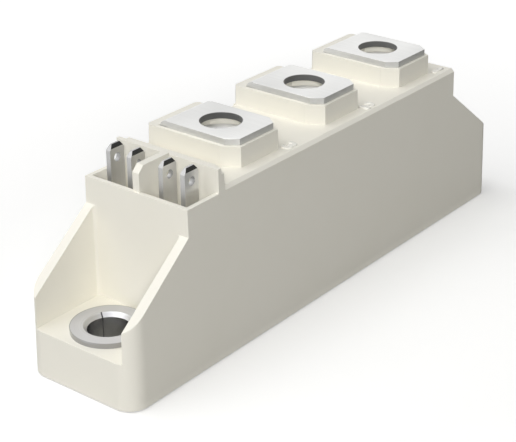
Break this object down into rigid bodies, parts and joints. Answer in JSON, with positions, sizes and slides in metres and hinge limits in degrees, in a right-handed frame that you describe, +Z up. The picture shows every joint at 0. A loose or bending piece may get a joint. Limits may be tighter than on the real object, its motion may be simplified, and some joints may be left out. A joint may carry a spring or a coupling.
{
  "type": "thyristor diode module",
  "caption": "Ivory moulded power module with a row of screw terminals on raised bosses, plug tabs in an end tray and a lug with a flanged bush at each end.",
  "frame": {"origin": "centre of the base plate's underside", "axes": "+X along the module, away from the gate tabs; +Y across it, towards the side that the terminal straps go down on; +Z up, away from the heatsink"},
  "size_m": [0.093, 0.02, 0.0305],
  "materials": {
    "housing_plastic": "moulded glass-filled polyester, ivory, fine matt",
    "plated_base": "nickel-plated copper, fine ground",
    "bush_metal": "turned and plated steel",
    "terminal_metal": "nickel-plated copper strip, satin",
    "nut_steel": "zinc-plated steel",
    "tab_metal": "tin-plated brass",
    "bare_copper": "bare copper, dull",
    "alumina": "white alumina, unglazed",
    "silicon": "diffused silicon, smooth",
    "molybdenum": "lapped molybdenum",
    "aluminium_wire": "drawn aluminium wire"
  },
  "bodies": {
    "root": {"anode_track": "bare_copper", "back_copper": "bare_copper", "base_plate": "plated_base", "bond_wire_1": "aluminium_wire", "bond_wire_2": "aluminium_wire", "cathode_track": "bare_copper", "ceramic_substrate": "alumina", "diode_chip": "silicon", "diode_contact_disc": "molybdenum", "diode_link": "bare_copper", "gate_lead_1": "tab_metal", "gate_lead_2": "tab_metal", "gate_pad_1": "bare_copper", "gate_pad_2": "bare_copper", "gate_tab_1": "tab_metal", "gate_tab_2": "tab_metal", "gate_tab_3": "tab_metal", "gate_tab_4": "tab_metal", "housing": "housing_plastic", "middle_track": "bare_copper", "mounting_bush_far_end": "bush_metal", "mounting_bush_gate_end": "bush_metal", "terminal_1": "terminal_metal", "terminal_2": "terminal_metal", "terminal_3": "terminal_metal", "terminal_nut_1": "nut_steel", "terminal_nut_2": "nut_steel", "terminal_nut_3": "nut_steel", "thyristor_chip": "silicon", "thyristor_contact_disc": "molybdenum", "thyristor_link": "bare_copper"}
  },
  "joints": []
}
